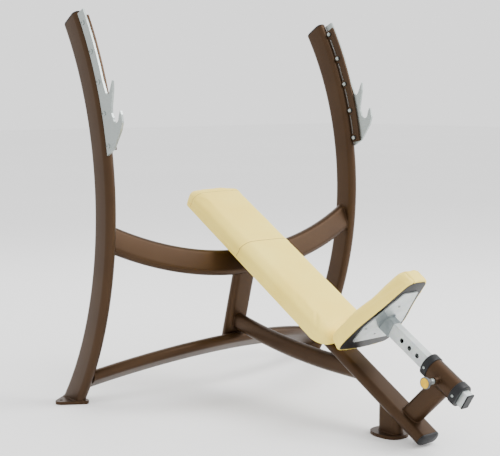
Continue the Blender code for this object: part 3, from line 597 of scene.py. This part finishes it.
def build_pin():
    """Boss, barrel, pin, knob and disc, as (radius, distance out) profiles about the pin's axis."""
    boss = [(0.0078, 0.052), (0.0132, 0.052), (0.0140, 0.0512), (0.0140, 0.0290), (0.0078, 0.0290)]
    piece("boss", turned("boss", boss, PIN, closed=True), "frame_paint", replaces=("pin_boss",))
    ring = []
    tree = surface_tree(bpy.data.objects["sleeve_tube"])
    direction = (PIN.to_3x3() @ Vector((0, 0, -1))).normalized()
    for start in placed(circle(0.0142, 40), PIN, 0.06):
        hit, _, _, _ = tree.ray_cast(start, direction)
        ring.append(hit)
    bead("boss_weld", ring, radius=0.0020)
    barrel = [
        (0.0052, 0.0660), (0.0088, 0.0660), (0.0095, 0.0653), (0.0095, 0.0610), (0.0089, 0.0604),
        (0.0089, 0.0585), (0.0095, 0.0579), (0.0095, 0.0523), (0.0052, 0.0523),
    ]
    piece("barrel", turned("barrel", barrel, PIN, closed=True), "steel", replaces=("pin_barrel",))
    shaft = [
        (0.0004, 0.0875), (0.0045, 0.0873), (0.0045, 0.0408), (0.0068, 0.0405), (0.0068, 0.0375),
        (0.0045, 0.0372), (0.0045, 0.0190), (0.0030, 0.0165), (0.0004, 0.0165),
    ]
    piece("pin_shaft", turned("pin_shaft", shaft, PIN), "steel", "pull_pin", ("pull_pin",))
    knob = [
        (0.0004, 0.0925), (0.0170, 0.0925), (0.0171, 0.0938), (0.0178, 0.0943), (0.0186, 0.0941),
        (0.0193, 0.0932), (0.0195, 0.0918), (0.0195, 0.0868), (0.0190, 0.0852), (0.0168, 0.0822),
        (0.0140, 0.0785), (0.0122, 0.0745), (0.0112, 0.0700), (0.0105, 0.0670), (0.0098, 0.0667),
        (0.0049, 0.0667), (0.0049, 0.0690), (0.0004, 0.0690),
    ]
    piece("knob", turned("knob", knob, PIN), "grey_plastic", "pull_pin", ("pin_knob",), smooth=50)
    disc = [
        (0.0004, 0.0951), (0.0080, 0.0950), (0.0130, 0.0947), (0.0158, 0.0942), (0.0167, 0.0936),
        (0.0168, 0.0928), (0.0004, 0.0928),
    ]
    piece("disc", turned("disc", disc, PIN), "yellow_plastic", "pull_pin", ("knob_disc",), smooth=50)


# ------------------------------------------------------------------ hook bolts


def build_hook_bolts():
    """A button head outside each hook plate, and a dome nut inside its flange on a black ring that paints the
    shade around the nut.
    """
    # Black ring under each nut: painted shade around the nut
    shade_ring = [(0.0040, 0.0014), (0.0098, 0.0014), (0.0102, 0.0010), (0.0102, 0.0), (0.0040, 0.0)]
    for side, label in ((-1, "left"), (1, "right")):
        turn = Matrix.Rotation(side * math.pi / 2, 4, "Y")
        for i in range(BOLTS_A_SIDE):
            angle = math.radians(BOLT_TOP - BOLT_PITCH * i)
            y = ARC_CENTRE[0] - BOLT_RING * math.cos(angle)
            z = ARC_CENTRE[1] + BOLT_RING * math.sin(angle)
            tag = f"{label}_{i + 1}"
            outside = Matrix.Translation((side * BOLT_HEAD_X, y, z)) @ turn
            button_screw(f"bolt_head_{tag}", outside, 0.0090, 0.0052, "frame", f"hook_bolt_{tag}")
            inside = Matrix.Translation((side * BOLT_NUT_X, y, z)) @ turn @ Matrix.Rotation(math.pi, 4, "X")
            # Painted shade: a black ring where the nut's shadow falls
            name = f"bolt_washer_{tag}"
            piece(name, turned(name, shade_ring, inside, 32, closed=True), "black_plastic")
            dome_nut(f"bolt_nut_{tag}", 0.0150, 0.0014, 0.0102, inside)


def dome_nut(name, across, low, high, matrix):
    """A hexagon whose corners are turned away towards a rounded crown."""
    corner = across / math.sqrt(3)
    layers = []
    for height, limit in (
        (low, 0.96), (low + 0.0006, 1.0), (high - 0.0046, 1.0), (high - 0.0040, 0.90),
        (high - 0.0034, 0.80), (high - 0.0016, 0.68), (high - 0.0005, 0.48), (high, 0.20),
    ):
        outline = []
        for i in range(48):
            angle = 2 * math.pi * i / 48
            flat = across / 2 / math.cos(angle % (math.pi / 3) - math.pi / 6)
            reach = min(flat, corner * limit)
            outline.append((reach * math.cos(angle), reach * math.sin(angle)))
        layers.append((outline, height))
    piece(name, layered(name, layers, matrix), "steel", smooth=28)


# ------------------------------------------------------------------ upholstery


def filleted(corners, steps=8):
    """Closed outline from (a, b, radius) corners, each rounded by an arc that meets both sides."""
    points = []
    for i, (a, b, radius) in enumerate(corners):
        corner = Vector((a, b))
        before = (Vector(corners[i - 1][:2]) - corner).normalized()
        after = (Vector(corners[(i + 1) % len(corners)][:2]) - corner).normalized()
        half = before.angle(after) / 2
        centre = corner + (before + after).normalized() * (radius / math.sin(half))
        first = corner + before * (radius / math.tan(half)) - centre
        turn = first.angle_signed(corner + after * (radius / math.tan(half)) - centre)
        for k in range(steps + 1):
            spoke = first.copy()
            spoke.rotate(Matrix.Rotation(-turn * k / steps, 2))
            points.append(tuple(centre + spoke))
    return points


def smooth_loop(points, steps=8):
    """Closed curve through the given points (Catmull-Rom)."""
    curve = []
    count = len(points)
    for i in range(count):
        p0, p1, p2, p3 = (Vector(points[(i + k) % count]) for k in (-1, 0, 1, 2))
        for k in range(steps):
            t = k / steps
            linear_part = 2 * p1 + (p2 - p0) * t
            square_part = (2 * p0 - 5 * p1 + 4 * p2 - p3) * t * t
            cubic_part = (3 * p1 - p0 - 3 * p2 + p3) * t * t * t
            curve.append(tuple((linear_part + square_part + cubic_part) / 2))
    return curve


def offset(outline, distance):
    """Anticlockwise outline moved outwards."""
    moved = []
    for i, point in enumerate(outline):
        along = (Vector(outline[(i + 1) % len(outline)]) - Vector(outline[i - 1])).normalized()
        moved.append((point[0] + along.y * distance, point[1] - along.x * distance))
    return moved


def back_plan(inset):
    """The back cushion's outline moved inwards, its long sides divided and its top end bulged."""
    half, low, high = PAD_HALF_WIDTH - inset, PAD_SPAN[0] + inset, PAD_SPAN[1] - inset
    lower, upper = (max(radius - inset, 0.006) for radius in PAD_CORNERS)
    corners = [(half, low, lower), (half, high, upper), (-half, high, upper), (-half, low, lower)]
    outline = filleted(corners)
    plan = []
    for (xa, ya), (xb, yb) in zip(outline, outline[1:] + outline[:1]):
        length = math.hypot(xb - xa, yb - ya)
        parts = 40 if length > 0.3 else 10 if length > 0.05 else 1
        plan += [(xa + (xb - xa) * k / parts, ya + (yb - ya) * k / parts) for k in range(parts)]
    bulged = []
    for x, y in plan:
        near = clamped((y - BULGE_START) / BULGE_RUN)
        bulged.append((x, y + END_BULGE * near * (1 - (x / PAD_HALF_WIDTH) ** 2)))
    return bulged


def seat_plan(inset):
    """The seat's saddle outline moved inwards: a narrow nose at -Y, wide and rounded at +Y."""
    half = [
        (0.0, -0.215), (0.031, -0.211), (0.0475, -0.197), (0.056, -0.172), (0.081, -0.082),
        (0.1135, 0.006), (0.1245, 0.065), (0.128, 0.115), (0.117, 0.145), (0.085, 0.155), (0.0, 0.163),
    ]
    outline = half + [(-a, b) for a, b in reversed(half) if a > 0]
    return offset(smooth_loop(outline), -inset)


def cushion_layers(plan, base, top, radius, belly, rim):
    """Closed cushion form: a rim turned in at the base, slightly full sides, and a rounded top edge."""
    layers = [(rim + 0.0060, base), (rim + 0.0015, base + 0.0006), (rim, base + 0.0030)]
    shoulder = top - radius * 0.8
    for i in range(1, 8):
        t = i / 8
        inset = rim * (1 - t) ** 2 - belly * math.sin(math.pi * t)
        layers.append((inset, base + 0.003 + (shoulder - base - 0.003) * t))
    for i in range(9):
        angle = math.pi / 2 * i / 9
        layers.append((radius * (1 - math.cos(angle)), shoulder + radius * 0.8 * math.sin(angle)))
    layers.append((radius + 0.004, top))
    return [(plan(inset), height) for inset, height in layers]


def voxel_mesh(made, size):
    """Even quads all over, slightly relaxed, for the cloth to bend."""
    remesh = made.modifiers.new("remesh", "REMESH")
    remesh.mode = "VOXEL"
    remesh.voxel_size = size
    relax = made.modifiers.new("relax", "SMOOTH")
    relax.iterations = 4
    made.data = evaluated(made)


def evaluated(made):
    """The object's mesh with its modifiers applied, and the modifiers removed."""
    graph = bpy.context.evaluated_depsgraph_get()
    mesh = bpy.data.meshes.new_from_object(made.evaluated_get(graph))
    made.modifiers.clear()
    return mesh


def inflate(made, place, held_below, cap):
    """Cloth pressure on the stuffed cover, its lower rim held, each point's travel capped."""
    scene = bpy.context.scene
    back = place.inverted()
    rest = [vertex.co.copy() for vertex in made.data.vertices]
    group = made.vertex_groups.new(name="held")
    group.add([i for i, point in enumerate(rest) if (back @ point).z < held_below], 1.0, "REPLACE")
    cloth = made.modifiers.new("cloth", "CLOTH")
    cloth.settings.use_pressure = True
    cloth.settings.uniform_pressure_force = PRESSURE
    cloth.settings.vertex_group_mass = "held"
    cloth.settings.tension_stiffness = 40
    cloth.settings.effector_weights.gravity = 0
    cloth.point_cache.frame_start = 1
    cloth.point_cache.frame_end = CLOTH_FRAMES
    for step in range(1, CLOTH_FRAMES + 1):
        scene.frame_set(step)
    blown = evaluated(made)
    for vertex, start in zip(blown.vertices, rest):
        travel = vertex.co - start
        if travel.length > 1e-9:
            vertex.co = start + travel.normalized() * cap * math.tanh(travel.length / cap)
    made.vertex_groups.clear()
    made.data = blown
    scene.frame_set(1)


def flatten_base(made, place, base):
    """Brings the cover's underside onto one plane."""
    back = place.inverted()
    for vertex in made.data.vertices:
        point = back @ vertex.co
        if point.z < base + 0.0012:
            vertex.co = place @ Vector((point.x, point.y, base))


def sculpt(made, place, push):
    """Moves each vertex along its normal by push(local point), in metres."""
    back = place.inverted()
    mesh = made.data
    normals = [vertex.normal.copy() for vertex in mesh.vertices]
    for vertex, normal in zip(mesh.vertices, normals):
        vertex.co = vertex.co + normal * push(back @ vertex.co)


def groove(distance, depth, width):
    """Stitched seam: a narrow valley between two slightly raised lips."""
    near = distance / width
    return -depth * math.exp(-near * near) + depth * 0.35 * math.exp(-((abs(near) - 2.6) ** 2) / 2.2)


def upholster(name, layers, place, size, held_below, cap, push, body, node):
    """A stuffed cushion: remeshed, blown up, divided once, and given its seams and creases by push."""
    made = piece(name, layered(name, layers, place), "cushion", body, (node,), smooth=180)
    voxel_mesh(made, size)
    inflate(made, place, held_below, cap)
    divide = made.modifiers.new("divide", "SUBSURF")
    divide.levels = divide.render_levels = 1
    mesh = evaluated(made)
    made.data = mesh
    sculpt(made, place, push)
    flatten_base(made, place, layers[0][1])
    mesh.materials.clear()
    mesh.materials.append(MATERIALS["cushion"])
    mesh.shade_smooth()
    return made


def seam_shade_strip(name, made, place, starts, targets, body, radius):
    """Stitch line laid on the cover where lines from starts to targets meet it, in the darker colour that
    paints the seam groove's shade.
    """
    tree = surface_tree(made)
    points = []
    for start, target in zip(starts, targets):
        origin, aim = place @ Vector(start), place @ Vector(target)
        hit, normal, _, _ = tree.ray_cast(origin, (aim - origin).normalized())
        if hit is not None:
            points.append(hit + normal * radius * 0.2)
    side = None
    rings = []
    for i, point in enumerate(points):
        along = (points[min(i + 1, len(points) - 1)] - points[max(i - 1, 0)]).normalized()
        side = along.orthogonal() if side is None else side - along * side.dot(along)
        side.normalize()
        up = along.cross(side)
        rings.append([point + (side * a + up * b) * radius for a, b in circle(1.0, 6)])
    # The strip's dark colour is painted seam shade
    piece(name, skin(name, rings), "seam_shade_strip", body, smooth=80)


def back_push(point):
    """Seams and soft unevenness of the back cushion."""
    x, station, height = point
    level = clamped((height - 0.036) / 0.02)
    push = groove(station - PAD_SEAM, 0.0026, 0.0030) * level
    push += groove(station - PAD_END_SEAM, 0.0010, 0.0035) * level
    push += 0.0009 * noise.noise(Vector(point) * 14) + 0.0004 * noise.noise(Vector(point) * 45)
    top = clamped((height - 0.085) / 0.012)
    crown = 1 - (x / PAD_HALF_WIDTH) ** 2
    return push + 0.0020 * top * crown


def seat_push(point):
    """Nose seams, the side's soft folds and a slight crown."""
    x, y, height = point
    nose = clamped((SEAT_SEAM_END - y) / 0.02)
    push = groove(abs(x) - SEAT_SEAM, 0.0018, 0.0026) * nose
    ripple = noise.noise(Vector((x * 10, y * 26, height * 16)))
    side = clamped((0.058 - height) / 0.02) * clamped((height - 0.006) / 0.01)
    push += 0.0013 * ripple * side + 0.0006 * noise.noise(Vector(point) * 40)
    top = clamped((height - 0.055) / 0.01)
    return push + 0.0015 * top


def build_back():
    """The fixed back cushion with its two seams, and the covered board under it."""
    base = PAD_BOTTOM + 0.0035
    layers = cushion_layers(back_plan, base, PAD_TOP, radius=0.034, belly=-0.0010, rim=0.0045)
    pad = upholster(
        "back_cushion", layers, INCLINE, size=0.006, held_below=base + 0.009, cap=0.006,
        push=back_push, body="frame", node="back_pad",
    )
    middle, reach, steps = 0.062, 0.4, 160
    for name, station, radius in (("back_seam", PAD_SEAM, 0.0010), ("back_end_seam", PAD_END_SEAM, 0.0005)):
        starts, targets = [], []
        for i in range(steps + 1):
            angle = math.radians(-14.5 + 209 * i / steps)
            starts.append((reach * math.cos(angle), station, middle + reach * math.sin(angle)))
            targets.append((0.0, station, middle))
        seam_shade_strip(name, pad, INCLINE, starts, targets, "frame", radius)
    board = [
        (back_plan(inset), PAD_BOTTOM + lift)
        for inset, lift in ((0.0075, 0.0), (0.0062, 0.0006), (0.0058, 0.0020), (0.0058, 0.0170))
    ]
    piece("board", layered("board", board, INCLINE), "board", replaces=("back_pad_board",))


def build_seat():
    """The seat cushion with its nose seams, the black shell, and the screws that hold it."""
    layers = cushion_layers(seat_plan, SEAT_BASE, SEAT_TOP, radius=0.020, belly=0.0010, rim=-0.0040)
    pad = upholster(
        "seat_cushion", layers, SEAT, size=0.005, held_below=0.012, cap=0.005,
        push=seat_push, body="seat", node="seat_pad",
    )
    pivot, middle, reach, steps = -0.17, 0.03, 0.3, 40
    for name, x in (("seat_seam_left", -SEAT_SEAM), ("seat_seam_right", SEAT_SEAM)):
        starts, targets = [], []
        for i in range(steps + 1):
            angle = math.radians(-8 + 100 * i / steps)
            starts.append((x, pivot - reach * math.cos(angle), middle + reach * math.sin(angle)))
            targets.append((x, pivot, middle))
        seam_shade_strip(name, pad, SEAT, starts, targets, "seat", 0.0006)
    shell = [
        (seat_plan(0.0060), 0.0), (seat_plan(0.0048), 0.0003), (seat_plan(0.0040), 0.0012),
        (seat_plan(0.0040), 0.0120),
    ]
    piece("shell", layered("shell", shell, SEAT), "black_plastic", "seat", ("seat_shell",))
    for i, (x, y) in enumerate(SEAT_SCREWS):
        head = SEAT @ Matrix.Translation((x, y, -0.0043)) @ Matrix.Rotation(math.pi, 4, "X")
        button_screw(f"seat_screw_head_{i + 1}", head, 0.0052, 0.0030, "seat", f"seat_screw_{i + 1}")


build_sleeve(build_frame())
build_pin()
build_hook_bolts()
build_back()
build_seat()

# ------------------------------------------------------------------ kept CAD nodes

SLOT_BY_NODE = {entry["node"]: entry["material_slot"] for entry in frame["record"]["subparts"]}
# Edge radius by the start of a kept node's name
EDGES = {
    "foot": 0.0014, "hook": 0.0011, "pad": 0.0010, "seat_plate": 0.0005, "seat_bracket": 0.0008,
    "seat_post": 0.0004,
}
for node_name, node in frame["nodes"].items():
    node.data.materials.clear()
    node.data.materials.append(MATERIALS[SLOT_BY_NODE[node_name]])
    for start, width in EDGES.items():
        if node_name.startswith(start):
            softened(node, width)
            break

# ------------------------------------------------------------------ studio


def area_light(name, spot, size, power):
    data = bpy.data.lights.new(name, "AREA")
    data.shape = "RECTANGLE"
    data.size, data.size_y = size
    data.energy = power
    lamp = bpy.data.objects.new(name, data)
    lamp.location = spot
    lamp.rotation_euler = (Vector(LIGHT_AIM) - Vector(spot)).to_track_quat("-Z", "Y").to_euler()
    bpy.context.scene.collection.objects.link(lamp)


def build_studio():
    """Pale floor, white world and three soft lights."""
    mesh = bpy.data.meshes.new("studio_floor")
    corners = [(FLOOR_REACH * x, FLOOR_REACH * y, 0) for x, y in ((-1, -1), (1, -1), (1, 1), (-1, 1))]
    mesh.from_pydata(corners, [], [(0, 1, 2, 3)])
    floor = bpy.data.objects.new("studio_floor", mesh)
    bpy.context.scene.collection.objects.link(floor)
    s = Surface("studio_floor", 0.8)
    s.colour(s.ramp(s.noise(0.4), (0.3, (0.92, 0.92, 0.92, 1)), (0.7, (0.94, 0.94, 0.94, 1))))
    mesh.materials.append(s.material)
    world = bpy.data.worlds.new("studio")
    world.use_nodes = True
    sky = world.node_tree.nodes["Background"]
    sky.inputs["Color"].default_value = (1.0, 1.0, 1.0, 1)
    sky.inputs["Strength"].default_value = WORLD_LIGHT
    bpy.context.scene.world = world
    for name, setting in LIGHTS.items():
        area_light(name, *setting)


def build_camera():
    data = bpy.data.cameras.new("camera")
    data.lens = CAMERA_LENS
    data.clip_end = 100
    camera = bpy.data.objects.new("camera", data)
    camera.location = CAMERA_SPOT
    camera.rotation_euler = (math.radians(90 - CAMERA_PITCH), 0, math.radians(CAMERA_HEADING))
    bpy.context.scene.collection.objects.link(camera)
    bpy.context.scene.camera = camera


build_studio()
build_camera()
